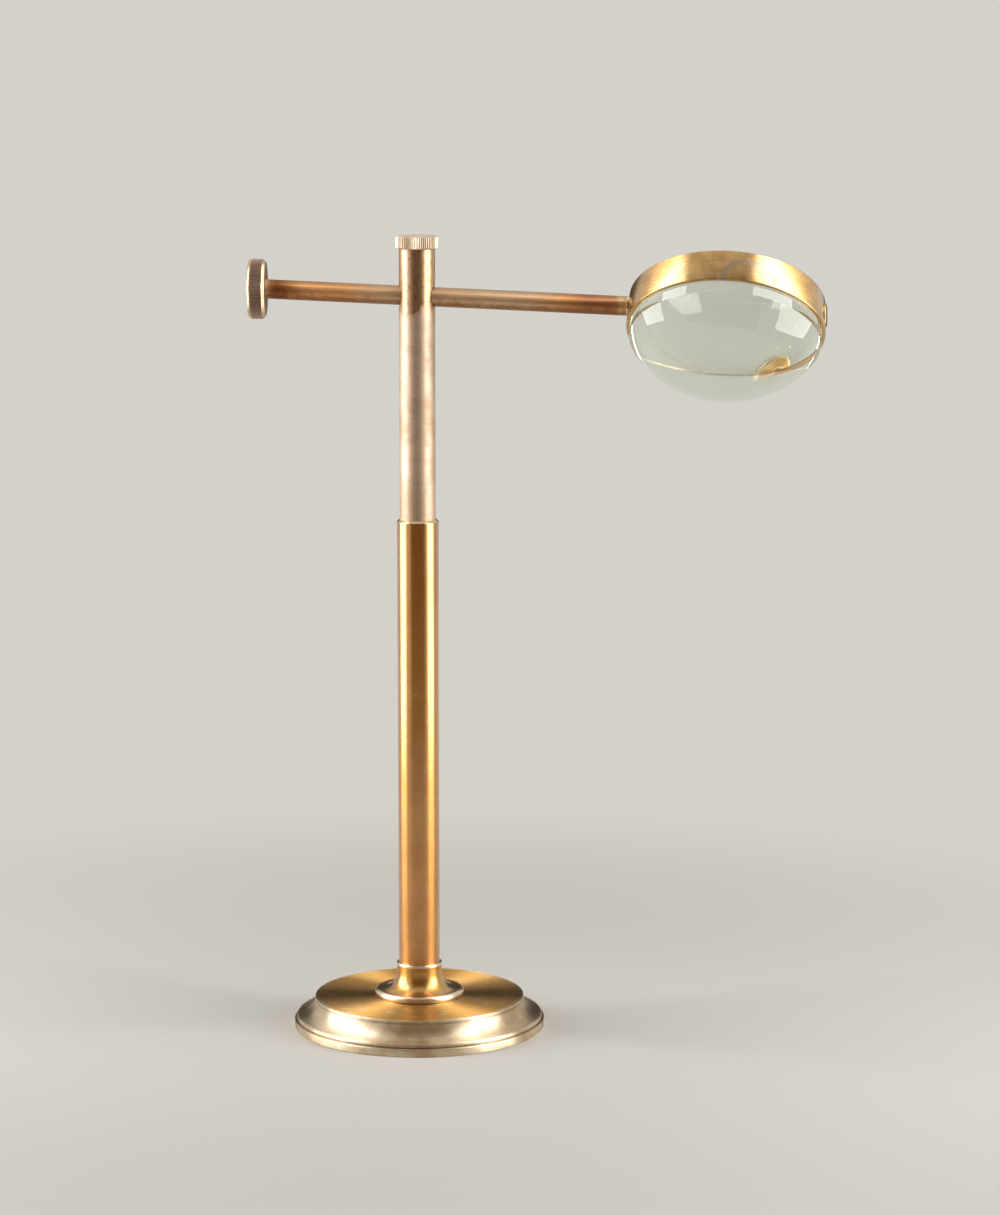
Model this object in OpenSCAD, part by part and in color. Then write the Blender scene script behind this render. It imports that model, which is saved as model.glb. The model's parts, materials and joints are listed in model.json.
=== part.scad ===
// Bull's-eye condenser on a table stand: a thick plano-convex lens in a brass cell, carried by
// an arm that slides and turns through the head of a two-draw pillar on a weighted round base.
// Origin: centre of the base's underside, on the pillar's axis. +Z is up and the arm runs along +X.

/* [Base] */
// Diameter of the base across its plinth
base_d = 67.6; // [60:0.1:90]
// Height of the base from the table to its flat top
base_h = 8.25; // [7.8:0.05:12]
// Height of the plain plinth at the bottom
plinth_h = 2.15; // [1.2:0.05:2.5]
// Bevel round the top of the plinth
plinth_bevel = 0.3; // [0.1:0.05:0.5]
// Height of the narrow quirk cut above the plinth
quirk_h = 0.35; // [0.2:0.05:0.8]
// Depth of that quirk
quirk_depth = 0.4; // [0.2:0.05:0.9]
// How far the plinth stands out past the moulding
plinth_step = 0.6; // [0.1:0.05:1]
// Height of the upright edge round the flat top
top_edge_h = 0.7; // [0.3:0.05:1.2]
// Radius of the wide hollow that sweeps out from under that edge
cove_r = 4.15; // [3:0.05:4.6]
// Bevel on the sharp outer edges
edge_bevel = 0.2; // [0.1:0.05:0.3]

/* [Base weight] */
// Inner diameter of the recess under the base
recess_inner_d = 25; // [22:0.5:32]
// Outer diameter of that recess, as far as the flat top allows
recess_outer_d = 54; // [40:0.5:56]
// Depth of the recess
recess_depth = 4.2; // [2:0.1:4.5]
// How far the lead stays above the table
weight_lift = 0.5; // [0.3:0.05:1.2]
// Bevel on the lower edges of the lead
weight_bevel = 0.6; // [0.3:0.1:1]

/* [Foot screw] */
// Diameter of the screw's shank
foot_screw_d = 6; // [4:0.1:7]
// Diameter of the screw's head
foot_screw_head_d = 9.8; // [8.4:0.1:12]
// Height of the screw's head
foot_screw_head_h = 2.2; // [1.5:0.1:2.6]
// How far the head lies inside the base
foot_screw_sink = 0.6; // [0.3:0.05:0.9]
// Room round the screw in the base
foot_screw_room = 0.4; // [0.2:0.05:0.6]
// How far the screw stops short of the tube
foot_screw_short = 0.6; // [0.3:0.1:1.2]

/* [Pillar foot] */
// Diameter of the foot's flange
foot_d = 24; // [20:0.1:32]
// Height of the whole foot above the base
foot_h = 9.15; // [8.8:0.05:14]
// Thickness of the flange, whose edge is a half round
flange_h = 1.9; // [1.4:0.05:2.2]
// Wall of the socket round the tube
socket_wall = 0.5; // [0.4:0.05:1.2]
// Height of the bead at the mouth of the socket
bead_h = 0.7; // [0.4:0.05:0.9]
// How far the bead stands out
bead_proud = 0.1; // [0.1:0.05:0.5]
// Height of the socket's floor above the base
socket_floor = 2.7; // [2.4:0.05:3.5]
// Diameter of the spigot that centres the foot in the base
spigot_d = 16; // [12:0.5:18]
// Length of that spigot
spigot_h = 1.2; // [0.6:0.1:1.8]

/* [Pillar tubes] */
// Outside diameter of the outer tube
outer_tube_d = 11.1; // [10.4:0.05:12]
// Wall of the outer tube
outer_tube_wall = 0.76; // [0.6:0.02:0.9]
// Length of the outer tube
outer_tube_l = 126.9; // [110:0.5:160]
// Bevel round the mouth of the outer tube
mouth_bevel = 0.6; // [0.2:0.05:0.65]
// Wall of the inner tube
inner_tube_wall = 0.79; // [0.6:0.02:0.9]
// Length of the inner tube
inner_tube_l = 125.4; // [110:0.2:130]
// How much of the inner tube shows above the outer tube
tube_draw = 71.5; // [62:0.1:85]
// Bevel on the rims of the tubes
tube_bevel = 0.22; // [0.1:0.02:0.3]

/* [Friction collar] */
// Length of the plug's spigot inside the inner tube
plug_l = 6; // [4:0.5:10]
// Thickness of the plug's flange
plug_flange_h = 1.2; // [0.8:0.1:2]
// Diameter of the stem that carries the collar
stem_d = 4.4; // [3.6:0.1:5.4]
// Height of the leather collar
collar_h = 5.4; // [4:0.1:7]
// Bevel on the edges of the leather collar
collar_bevel = 0.4; // [0.2:0.05:0.8]
// End play of the leather collar on its stem
collar_gap = 0.15; // [0.1:0.05:0.3]
// Thickness of the washer under the collar
collar_washer_t = 0.8; // [0.5:0.1:1.2]
// How much smaller than the inner tube that washer is in radius
washer_inset = 0.3; // [0.1:0.05:0.6]
// Diameter of the collar screw's shank
collar_screw_d = 2.4; // [1.6:0.1:2.8]
// Diameter of the collar screw's head
collar_screw_head_d = 4.4; // [3.6:0.1:5.6]
// Height of the collar screw's head
collar_screw_head_h = 1.3; // [0.9:0.1:2]
// Length of the collar screw's shank
collar_screw_l = 5; // [3.5:0.1:6.5]
// How far the collar screw stops short of the end of its hole
collar_screw_short = 0.4; // [0.2:0.1:1]

/* [Clamp] */
// Diameter of the knurled cap
cap_d = 11.1; // [10.2:0.05:14]
// Height of the cap's knurled rim
cap_h = 3.3; // [2.4:0.05:5]
// Height of the dome on top of the cap
cap_dome_h = 0.4; // [0.15:0.05:0.8]
// Number of teeth in the cap's straight knurl
cap_teeth = 60; // [30:2:90]
// Depth of that knurl
cap_knurl = 0.2; // [0.1:0.02:0.3]
// Length of the cap's spigot inside the tube
cap_spigot_l = 3.6; // [2:0.1:4.4]
// Diameter of the draw bolt's threaded shank
bolt_d = 4.8; // [4:0.1:5.4]
// Thickness of metal left above the thread in the cap
cap_crown = 0.9; // [0.6:0.1:1.4]
// How far the draw bolt stops short of the end of that thread
bolt_short = 0.2; // [0.1:0.05:0.5]
// Height of metal above and below the eye
eye_wall = 1.9; // [1.2:0.1:2.6]
// How far the bolt drops when the cap is slackened
bolt_drop = 0.2; // [0.1:0.05:0.3]

/* [Arm] */
// Diameter of the rod
arm_d = 5.1; // [4:0.05:5.4]
// Length of the rod from the knob to the collar
arm_l = 95.5; // [88:0.1:125]
// Distance along the rod from the pillar's axis to the middle of the lens
arm_reach = 81.4; // [76:0.1:90]
// Distance from the rim of the inner tube down to the rod's axis
arm_drop = 12.4; // [11.6:0.1:20]
// Slope of the arm, down towards the lens
arm_droop = 2.4; // [0:0.1:4]
// Wall of the split bush round the rod
bush_wall = 0.42; // [0.3:0.02:0.5]
// Width of the slit in that bush
bush_slit = 0.5; // [0.3:0.1:1]
// Diameter of the spigots at the ends of the rod
rod_spigot_d = 3.1; // [2.4:0.1:3.6]
// Bevel on the end of the rod by the collar
rod_bevel = 0.2; // [0.1:0.05:0.3]
// Thickness of the bright collar against the cell
arm_collar_t = 0.7; // [0.4:0.1:1.5]

/* [Knob] */
// Diameter of the knob
knob_d = 15.75; // [12:0.05:20]
// Width of the knob's knurled band
knob_band = 2.9; // [2:0.1:5]
// Width of the bevel on the side towards the pillar
knob_bevel = 0.75; // [0.4:0.05:1]
// Width of the rounded edge on the outer side
knob_round = 0.95; // [0.5:0.05:1.2]
// Height of the dome on the outer face
knob_dome_h = 0.3; // [0.2:0.05:0.8]
// How far the knob leans out of square with the rod, so that its faces hang upright
knob_lean = 2.2; // [0:0.1:3]
// How far the knob is skewed on the rod, as seen from above
knob_skew = 4; // [0:0.1:5]
// Number of teeth in the knob's fine knurl
knob_teeth = 120; // [60:2:160]
// Depth of that knurl
knob_knurl = 0.12; // [0.06:0.02:0.2]

/* [Lens cell] */
// Outside diameter of the cell
cell_d = 51.9; // [44:0.1:60]
// Height of the cell along the lens's axis
cell_h = 8.7; // [7.6:0.1:12]
// Wall of the cell at its front rim
cell_wall = 0.8; // [0.7:0.05:1.2]
// How much smaller the back rim is in radius
cell_taper = 0.3; // [0:0.05:0.35]
// Width of the lip that holds the lens
lip_w = 0.2; // [0.15:0.05:0.6]
// Height of that lip
lip_h = 1; // [0.6:0.1:1.6]
// Tilt of the lens's axis from upright, top leaning back
lens_tilt = 35; // [0:1:90]
// How far the rod enters the cell behind the middle of its height
cell_offset = 1.9; // [0:0.05:2.2]
// Depth of the flats on which the collar and the far screw sit
flat_depth = 0.2; // [0.15:0.01:0.25]
// Diameter of the far screw's head
cell_screw_head_d = 6.2; // [4:0.1:6.4]
// How far that head stands off the cell
cell_screw_proud = 0.3; // [0.2:0.05:0.8]
// Diameter of the far screw's shank
cell_screw_d = 2.4; // [1.6:0.1:3]
// Angle from the line of the rod round to that screw
cell_screw_turn = 7; // [0:0.5:20]

/* [Lens] */
// Radius of the lens's curved face
dome_r = 29.6; // [27:0.1:40]
// Width of the lens's plain edge that shows past the cell
edge_shown = 3.2; // [1:0.1:5]
// Depth of the flat face below the cell's back rim
flat_sunk = 2; // [1.6:0.1:2.8]
// Bevel ground on the edge of the flat face
lens_bevel = 0.3; // [0.1:0.05:0.5]
// Height of the retaining ring
ring_h = 1.5; // [0.8:0.1:1.5]
// Width of the retaining ring
ring_w = 1.6; // [1:0.1:3]
// Width of the key slots in the retaining ring
ring_slot_w = 1.2; // [0.8:0.1:2]
// Number of those slots
ring_slots = 4; // [2:1:6]

/* [Fits] */
// Radial clearance of pieces that slide or turn in each other
running_fit = 0.04; // [0.02:0.01:0.08]
// Radial clearance of pieces that are screwed or soldered together
seat_fit = 0.02; // [0.01:0.01:0.05]
// Radial clearance of the draw bolt's thread in the cap
thread_fit = 0.05; // [0.03:0.01:0.08]
// Spare room round the drooping rod in the tube's cross hole
cross_clearance = 0.08; // [0.05:0.01:0.2]
// Width of the screwdriver slots
slot_w = 0.9; // [0.6:0.1:1.2]
// Bevel on the small turned pieces
small_bevel = 0.15; // [0.1:0.01:0.2]

/* [Hidden] */
$fn = 96;

// A hair past a face, so that a cut leaves no skin
past = 0.1;
// Fineness of arcs that are a small part of a large circle
arc_fn = 720;

// Base
base_r = base_d / 2;
quirk_z = plinth_h + quirk_h;
ovolo_r = base_h - top_edge_h - cove_r - quirk_z;
base_top_r = base_r - plinth_step - ovolo_r - cove_r;
cove_x = base_top_r + cove_r;
cove_z = base_h - top_edge_h;
recess_r = min(recess_outer_d / 2, base_top_r - 1);

// Pillar, from the bottom up
outer_r = outer_tube_d / 2;
outer_bore_r = outer_r - outer_tube_wall;
inner_r = outer_bore_r - running_fit;
inner_bore_r = inner_r - inner_tube_wall;
neck_r = outer_r + seat_fit + socket_wall;
foot_r = foot_d / 2;
cavetto_r = foot_r - neck_r;
seat_z = base_h + socket_floor;
outer_top_z = seat_z + outer_tube_l;
head_z = outer_top_z + tube_draw;
inner_bottom_z = head_z - inner_tube_l;

// Friction collar, hung under the inner tube
collar_top_z = inner_bottom_z - plug_flange_h;
stem_l = collar_h + 2 * collar_gap;
washer_top_z = collar_top_z - stem_l;

// Clamp: the arm's axis crosses the pillar's at arm_z
arm_z = head_z - arm_drop;
rod_r = arm_d / 2;
bush_bore_r = rod_r + running_fit;
bush_r = bush_bore_r + bush_wall;
eye_r = bush_r + running_fit;
bolt_body_r = inner_bore_r - running_fit;
bush_l = 2 * sqrt(pow(inner_bore_r - 3 * running_fit, 2) - pow(bush_r, 2));
bolt_r = bolt_d / 2;
cap_spigot_r = inner_bore_r - running_fit;
cap_bore_top = cap_h - cap_crown;
cross_hole_r = rod_r + inner_r * tan(arm_droop) + bolt_drop / 2 + cross_clearance;

// Arm, measured along the rod from the pillar's axis
cell_r = cell_d / 2;
wall_r = cell_r - cell_taper * (cell_h / 2 + cell_offset) / cell_h;
collar_seat_x = arm_reach - wall_r + flat_depth;
rod_end_x = collar_seat_x - arm_collar_t;
knob_face_x = rod_end_x - arm_l;
knob_spigot_l = knob_band;
knob_spot_depth = rod_r * sin(norm([knob_lean, knob_skew])) + 0.05;
spigot_r = rod_spigot_d / 2;

// Lens and cell, along the lens's axis from the middle of the cell
cell_bore_r = cell_r - cell_wall;
lens_r = cell_bore_r - seat_fit;
lip_r = cell_bore_r - lip_w;
lens_edge_r = lip_r - seat_fit;
flat_z = cell_h / 2 - flat_sunk;
lip_top_z = lip_h - cell_h / 2;
edge_z = -cell_h / 2 - edge_shown;
screw_seat_r = cell_r - cell_taper / 2 - flat_depth;

// Places

// Puts a piece drawn along +X on the sloping arm
module along_arm() {
    translate([0, 0, arm_z]) rotate([0, arm_droop, 0]) children();
}

// Puts a piece drawn about Z, flat side up, in the tilted cell
module in_cell() {
    along_arm() translate([arm_reach, 0, 0]) rotate([-lens_tilt, 0, 0])
        translate([0, 0, -cell_offset]) children();
}

// A rod along +X from x0 to x1
module x_rod(r, x0, x1) {
    translate([x0, 0, 0]) rotate([0, 90, 0]) cylinder(r = r, h = x1 - x0);
}

// A straight slot across a screw's head
module driver_slot(d, depth) {
    translate([-d / 2 - past, -slot_w / 2, -past]) cube([d + 2 * past, slot_w, depth + past]);
}

// Outline of a straight knurl on a blank of radius r: valleys of that depth, and ridges that
// pass the blank a little, so that it leaves each one a narrow land
module knurl_outline(r, teeth, depth) {
    polygon([for (i = [0 : 2 * teeth - 1])
        let (q = i % 2 == 0 ? r + depth / 4 : r - depth, a = 180 * i / teeth)
            [q * cos(a), q * sin(a)]]);
}

// Half section of a low dome of radius r and height h, standing on the X axis
module dome_section(r, h) {
    ball_r = (pow(r, 2) + pow(h, 2)) / (2 * h);
    intersection() {
        translate([0, h - ball_r]) circle(r = ball_r, $fn = arc_fn);
        square([r, h]);
    }
}

// A turned ring: outer radius, bore, height and bevelled outer edges
module turned_ring(r, bore, h, bevel) {
    rotate_extrude() polygon([[bore, 0], [r - bevel, 0], [r, bevel], [r, h - bevel],
        [r - bevel, h], [bore, h]]);
}

// Stand

// Half section of the base, outside only: plinth, quirk, small convex moulding, wide hollow and
// upright edge
module base_section() {
    difference() {
        union() {
            square([base_r, plinth_h]);
            square([base_r - plinth_step - quirk_depth, quirk_z]);
            square([cove_x, cove_z - cove_r]);
            square([base_top_r, base_h]);
            translate([cove_x, quirk_z]) intersection() {
                circle(r = ovolo_r);
                square([ovolo_r, ovolo_r]);
            }
            difference() {
                square([cove_x, cove_z]);
                translate([cove_x, cove_z]) circle(r = cove_r);
            }
        }
        translate([base_r, 0]) rotate(45)
            square(edge_bevel * sqrt(2), center = true);
        translate([base_r, plinth_h]) rotate(45)
            square(plinth_bevel * sqrt(2), center = true);
        translate([base_top_r, base_h]) rotate(45)
            square(edge_bevel * sqrt(2), center = true);
    }
}

module base() {
    head_room_r = foot_screw_head_d / 2 + foot_screw_room;
    color("gold") difference() {
        rotate_extrude() base_section();
        difference() {
            translate([0, 0, -past]) cylinder(r = recess_r, h = recess_depth + past);
            translate([0, 0, -2 * past]) cylinder(d = recess_inner_d, h = recess_depth + 4 * past);
        }
        translate([0, 0, -past])
            cylinder(r = head_room_r, h = foot_screw_sink + foot_screw_head_h + past);
        cylinder(d = foot_screw_d + foot_screw_room, h = base_h);
        translate([0, 0, base_h - spigot_h - past])
            cylinder(d = spigot_d + 2 * seat_fit, h = spigot_h + 2 * past);
    }
}

module base_weight() {
    r = recess_r - seat_fit;
    bore = recess_inner_d / 2 + seat_fit;
    h = recess_depth - weight_lift;
    b = weight_bevel;
    color("dimgray") translate([0, 0, weight_lift]) rotate_extrude()
        polygon([[bore + b, 0], [r - b, 0], [r, b], [r, h], [bore, h], [bore, b]]);
}

module foot_screw() {
    color("darkkhaki") difference() {
        translate([0, 0, foot_screw_sink]) union() {
            turned_ring(foot_screw_head_d / 2, 0, foot_screw_head_h, edge_bevel);
            cylinder(d = foot_screw_d, h = seat_z - foot_screw_sink - foot_screw_short);
        }
        translate([0, 0, foot_screw_sink]) driver_slot(foot_screw_head_d, foot_screw_head_h / 2);
    }
}

// Half section of the foot: flange with a half-round edge, hollow flare, neck and bead
module foot_section() {
    edge_r = foot_r - flange_h / 2;
    union() {
        square([edge_r, flange_h]);
        translate([edge_r, flange_h / 2]) circle(d = flange_h);
        square([neck_r, foot_h]);
        difference() {
            square([edge_r, flange_h + cavetto_r]);
            translate([foot_r, flange_h + cavetto_r]) circle(r = cavetto_r);
        }
        translate([neck_r + bead_proud - bead_h / 2, foot_h - bead_h / 2]) circle(d = bead_h);
    }
}

module pillar_foot() {
    socket_r = outer_r + seat_fit;
    color("gold") difference() {
        union() {
            translate([0, 0, base_h]) rotate_extrude() foot_section();
            translate([0, 0, base_h - spigot_h]) cylinder(d = spigot_d, h = spigot_h + past);
        }
        translate([0, 0, seat_z]) cylinder(r = socket_r, h = foot_h);
        translate([0, 0, base_h + foot_h - tube_bevel])
            cylinder(r1 = socket_r, r2 = socket_r + 2 * tube_bevel, h = 2 * tube_bevel);
        cylinder(r = foot_screw_d / 2 + seat_fit, h = seat_z + past);
    }
}

// A plain tube with bevelled rims; the bevel outside its top rim can be wider
module tube(r, bore, l, top = tube_bevel) {
    b = tube_bevel;
    inner = min(b, (r - bore - top) / 2);
    rotate_extrude() polygon([[bore + b, 0], [r - b, 0], [r, b], [r, l - top], [r - top, l],
        [bore + inner, l], [bore, l - inner], [bore, b]]);
}

module outer_tube() {
    color("goldenrod") translate([0, 0, seat_z])
        tube(outer_r, outer_bore_r, outer_tube_l, mouth_bevel);
}

// Telescopic pillar

module friction_collar() {
    color("saddlebrown") translate([0, 0, collar_top_z - collar_gap - collar_h])
        turned_ring(outer_bore_r - running_fit, stem_d / 2 + running_fit, collar_h,
            collar_bevel);
}

module collar_washer() {
    color("darkkhaki") translate([0, 0, washer_top_z - collar_washer_t])
        turned_ring(inner_r - washer_inset, collar_screw_d / 2 + running_fit, collar_washer_t,
            small_bevel);
}

module collar_screw() {
    head_z0 = washer_top_z - collar_washer_t - collar_screw_head_h;
    shank_l = collar_screw_head_h + collar_washer_t + collar_screw_l - collar_screw_short;
    color("darkkhaki") translate([0, 0, head_z0]) difference() {
        union() {
            turned_ring(collar_screw_head_d / 2, 0, collar_screw_head_h, small_bevel);
            cylinder(d = collar_screw_d, h = shank_l);
        }
        driver_slot(collar_screw_head_d, collar_screw_head_h / 2);
    }
}

module tube_plug() {
    color("darkkhaki") difference() {
        union() {
            translate([0, 0, inner_bottom_z - past])
                cylinder(r = inner_bore_r - seat_fit, h = plug_l + past);
            translate([0, 0, collar_top_z]) turned_ring(inner_r, 0, plug_flange_h, edge_bevel);
            translate([0, 0, washer_top_z]) cylinder(d = stem_d, h = stem_l + past);
        }
        translate([0, 0, washer_top_z - past])
            cylinder(r = collar_screw_d / 2 + seat_fit, h = collar_screw_l + past);
    }
}

module inner_tube() {
    color("khaki") difference() {
        translate([0, 0, inner_bottom_z]) tube(inner_r, inner_bore_r, inner_tube_l);
        translate([0, 0, arm_z - bolt_drop / 2])
            x_rod(cross_hole_r, -inner_r - past, inner_r + past);
    }
}

// Clamp

// The cap without its knurl: bevelled rim under a low dome
module cap_blank() {
    bevel = 1.2 * cap_knurl;
    r = cap_d / 2;
    rotate_extrude() union() {
        polygon([[0, 0], [r - bevel, 0], [r, bevel], [r, cap_h - bevel], [r - bevel, cap_h],
            [0, cap_h]]);
        translate([0, cap_h]) dome_section(r - bevel, cap_dome_h);
    }
}

module clamp_cap() {
    color("khaki") translate([0, 0, head_z]) difference() {
        union() {
            intersection() {
                cap_blank();
                translate([0, 0, -past]) linear_extrude(cap_h + cap_dome_h + 2 * past)
                    knurl_outline(cap_d / 2, cap_teeth, cap_knurl);
            }
            translate([0, 0, -cap_spigot_l]) cylinder(r = cap_spigot_r, h = cap_spigot_l + past);
        }
        translate([0, 0, -cap_spigot_l - past])
            cylinder(r = bolt_r + thread_fit, h = cap_spigot_l + cap_bore_top + past);
    }
}

module draw_bolt() {
    body_top = eye_r + eye_wall;
    shank_top = head_z + cap_bore_top - bolt_short;
    color("darkkhaki") difference() {
        union() {
            translate([0, 0, arm_z - body_top])
                turned_ring(bolt_body_r, 0, 2 * body_top, edge_bevel);
            translate([0, 0, arm_z]) cylinder(r = bolt_r, h = shank_top - arm_z);
        }
        along_arm() x_rod(eye_r, -2 * bolt_body_r, 2 * bolt_body_r);
    }
}

module arm_bush() {
    color("khaki") along_arm() difference() {
        x_rod(bush_r, -bush_l / 2, bush_l / 2);
        x_rod(bush_bore_r, -bush_l, bush_l);
        translate([-bush_l, -bush_slit / 2, -2 * bush_r]) cube([2 * bush_l, bush_slit, 2 * bush_r]);
    }
}

// Arm and lens

module arm_rod() {
    tip_x = arm_reach - cell_bore_r - seat_fit;
    spigot_x = knob_face_x - knob_spigot_l;
    b = rod_bevel;
    color("peru") along_arm() rotate([0, 90, 0]) rotate_extrude()
        polygon([[0, spigot_x], [spigot_r, spigot_x], [spigot_r, knob_face_x],
            [rod_r, knob_face_x], [rod_r, rod_end_x - b], [rod_r - b, rod_end_x],
            [spigot_r, rod_end_x], [spigot_r, tip_x], [0, tip_x]]);
}

// The knob without its knurl, standing on the side that faces the pillar
module knob_blank() {
    r = knob_d / 2;
    round_z = knob_bevel + knob_band;
    face_z = round_z + knob_round;
    rotate_extrude() union() {
        polygon([[0, 0], [r - knob_bevel, 0], [r, knob_bevel], [r, round_z], [0, round_z]]);
        square([r - knob_round, face_z]);
        translate([r - knob_round, round_z]) intersection() {
            circle(r = knob_round);
            square(knob_round);
        }
        translate([0, face_z]) dome_section(r - knob_round, knob_dome_h);
    }
}

// Bored and faced square to the rod, so that a leaning knob still seats on the rod's shoulder
module end_knob() {
    color("tan") along_arm() translate([knob_face_x, 0, 0]) rotate([0, -90, 0]) difference() {
        translate([0, 0, -knob_spot_depth]) rotate([knob_skew, -knob_lean, 0]) difference() {
            knob_blank();
            translate([0, 0, knob_bevel + 0.05]) linear_extrude(knob_band - 0.1) difference() {
                circle(r = knob_d / 2 + 1);
                knurl_outline(knob_d / 2, knob_teeth, knob_knurl);
            }
        }
        translate([0, 0, -1]) cylinder(r = rod_r + seat_fit, h = 1);
        cylinder(r = spigot_r + seat_fit, h = knob_spigot_l + 0.2);
    }
}

module arm_collar() {
    color("khaki") along_arm() translate([rod_end_x, 0, 0]) rotate([0, 90, 0])
        turned_ring(rod_r, spigot_r + seat_fit, arm_collar_t, rod_bevel / 2);
}

module lens_cell() {
    z0 = -cell_h / 2;
    z1 = cell_h / 2;
    back_r = cell_r - cell_taper;
    b = edge_bevel;
    color("gold") difference() {
        in_cell() rotate_extrude()
            polygon([[lip_r, z0], [cell_r - b, z0], [cell_r, z0 + b], [back_r, z1 - b],
                [back_r - b, z1], [cell_bore_r, z1], [cell_bore_r, lip_top_z],
                [lip_r, lip_top_z]]);
        along_arm() {
            x_rod(spigot_r + seat_fit, arm_reach - cell_r - 1, arm_reach - cell_r / 2);
            x_rod(rod_r + seat_fit, arm_reach - cell_r - 1, collar_seat_x);
        }
        in_cell() rotate([0, 0, -cell_screw_turn]) {
            x_rod(cell_screw_d / 2 + seat_fit, cell_r / 2, cell_r + 1);
            x_rod(cell_screw_head_d / 2 + seat_fit, screw_seat_r, cell_r + 1);
        }
    }
}

module bullseye_lens() {
    dome_h = dome_r - sqrt(pow(dome_r, 2) - pow(lens_edge_r, 2));
    color("lightcyan", 0.5) in_cell() rotate_extrude() union() {
        polygon([[0, edge_z], [lens_edge_r, edge_z], [lens_edge_r, lip_top_z], [lens_r, lip_top_z],
            [lens_r, flat_z - lens_bevel], [lens_r - lens_bevel, flat_z], [0, flat_z]]);
        translate([0, edge_z]) mirror([0, 1]) dome_section(lens_edge_r, dome_h);
    }
}

module retaining_ring() {
    r = cell_bore_r - seat_fit;
    color("darkkhaki") in_cell() translate([0, 0, flat_z]) difference() {
        turned_ring(r, r - ring_w, ring_h, small_bevel);
        for (i = [0 : ring_slots - 1]) rotate(360 * (i + 0.5) / ring_slots)
            translate([r - ring_w - 1, -ring_slot_w / 2, ring_h / 2])
                cube([ring_w + 2, ring_slot_w, ring_h]);
    }
}

module cell_screw() {
    head_h = flat_depth + cell_screw_proud;
    shank_l = screw_seat_r - cell_bore_r - seat_fit;
    color("khaki") in_cell() rotate([0, 0, -cell_screw_turn]) translate([screw_seat_r, 0, 0])
        rotate([0, 90, 0]) difference() {
            union() {
                turned_ring(cell_screw_head_d / 2, 0, head_h, small_bevel);
                translate([0, 0, -shank_l]) cylinder(d = cell_screw_d, h = shank_l + head_h / 2);
            }
            translate([0, 0, head_h]) mirror([0, 0, 1])
                driver_slot(cell_screw_head_d, head_h / 2);
        }
}

base();
base_weight();
foot_screw();
pillar_foot();
outer_tube();
friction_collar();
collar_washer();
collar_screw();
tube_plug();
inner_tube();
clamp_cap();
draw_bolt();
arm_bush();
arm_rod();
end_knob();
arm_collar();
lens_cell();
bullseye_lens();
retaining_ring();
cell_screw();
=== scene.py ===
"""Bull's-eye condenser on a two-draw pillar: its finished look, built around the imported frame."""
import json
import math

import bmesh
import bpy
from mathutils import Matrix, Vector


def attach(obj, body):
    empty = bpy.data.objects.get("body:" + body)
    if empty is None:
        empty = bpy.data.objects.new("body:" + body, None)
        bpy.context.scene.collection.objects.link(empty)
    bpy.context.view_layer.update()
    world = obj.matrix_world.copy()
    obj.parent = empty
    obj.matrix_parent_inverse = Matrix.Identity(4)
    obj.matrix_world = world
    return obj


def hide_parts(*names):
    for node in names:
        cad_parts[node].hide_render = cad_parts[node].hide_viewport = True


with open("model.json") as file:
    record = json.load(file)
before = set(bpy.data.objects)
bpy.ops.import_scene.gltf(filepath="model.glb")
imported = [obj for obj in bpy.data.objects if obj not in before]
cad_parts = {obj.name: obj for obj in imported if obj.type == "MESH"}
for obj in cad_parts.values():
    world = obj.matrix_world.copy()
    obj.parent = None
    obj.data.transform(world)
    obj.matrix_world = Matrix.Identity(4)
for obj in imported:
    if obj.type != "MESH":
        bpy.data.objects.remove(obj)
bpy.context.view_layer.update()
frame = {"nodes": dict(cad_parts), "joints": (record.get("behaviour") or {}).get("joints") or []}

MM = 0.001

# ---------------------------------------------------------------------------------------------
# Base: a heavy brass disc turned with a plinth, a thin quirk and one wide hollow that sweeps up
# to the lip of its flat top. It was finished on the lathe, and is worn and finely scratched now.
# ---------------------------------------------------------------------------------------------


def linear(code):
    """A colour written as an sRGB hex code, in the linear values that the shaders take."""
    parts = (int(code[i:i + 2], 16) / 255 for i in (1, 3, 5))
    parts = (c / 12.92 if c <= 0.04045 else ((c + 0.055) / 1.055) ** 2.4 for c in parts)
    return (*parts, 1.0)


def add(tree, kind, feeds=None, **settings):
    """One shader node with its settings; feeds gives sockets a value or another node's output."""
    node = tree.nodes.new("ShaderNode" + kind)
    for word, value in settings.items():
        setattr(node, word, value)
    for socket, value in (feeds or {}).items():
        if isinstance(value, bpy.types.NodeSocket):
            tree.links.new(value, node.inputs[socket])
        else:
            node.inputs[socket].default_value = value
    return node


def piece_from(name, shape, sharp_deg=30):
    """The finished mesh of a piece as an object of its own, smooth but for its real corners."""
    data = bpy.data.meshes.new(name)
    shape.to_mesh(data)
    shape.free()
    data.shade_smooth()
    data.set_sharp_from_angle(angle=math.radians(sharp_deg))
    piece = bpy.data.objects.new(name, data)
    bpy.context.scene.collection.objects.link(piece)
    return piece


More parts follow.
